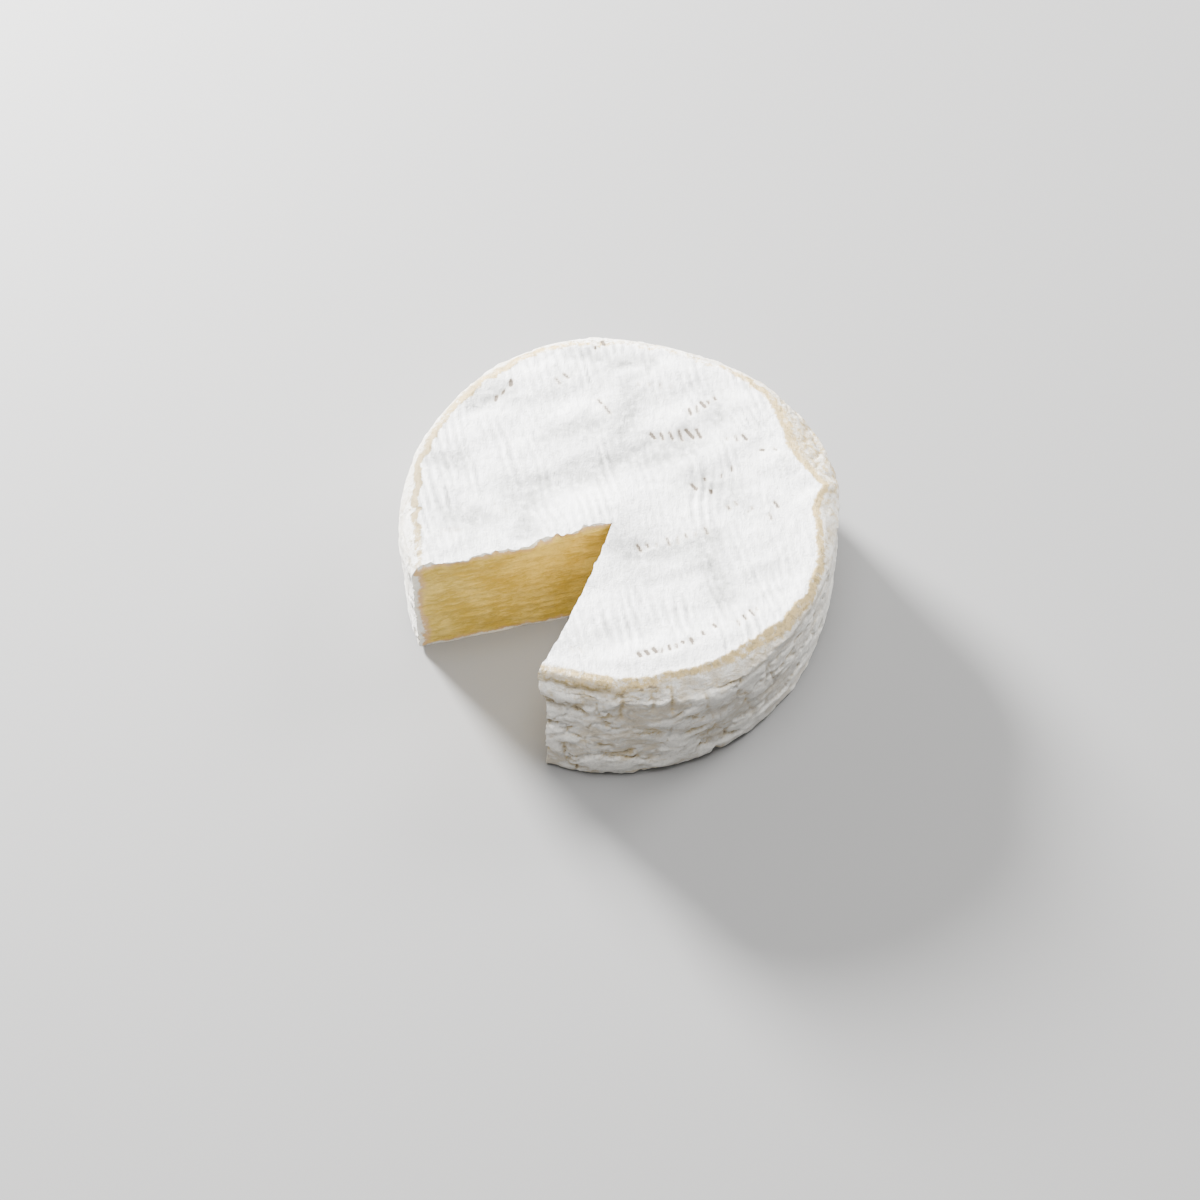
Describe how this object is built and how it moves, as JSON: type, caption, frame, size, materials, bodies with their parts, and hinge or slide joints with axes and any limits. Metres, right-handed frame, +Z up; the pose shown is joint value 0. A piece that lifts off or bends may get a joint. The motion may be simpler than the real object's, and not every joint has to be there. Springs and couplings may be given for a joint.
{
  "type": "camembert",
  "caption": "Round soft cheese with a white mould rind and a wedge cut out, showing the pale yellow paste, for tables and food scenes.",
  "frame": {"origin": "on the flat base, on the upright axis of the wheel", "axes": "+Z up from the base to the top rind; +X and +Y level, with the cut opening towards -X and -Y, between the directions 194 and 248 degrees round from +X"},
  "size_m": [0.1062, 0.1073, 0.0372],
  "materials": {
    "rind": "matte"
  },
  "bodies": {
    "root": {"cheese": "rind"}
  },
  "joints": []
}
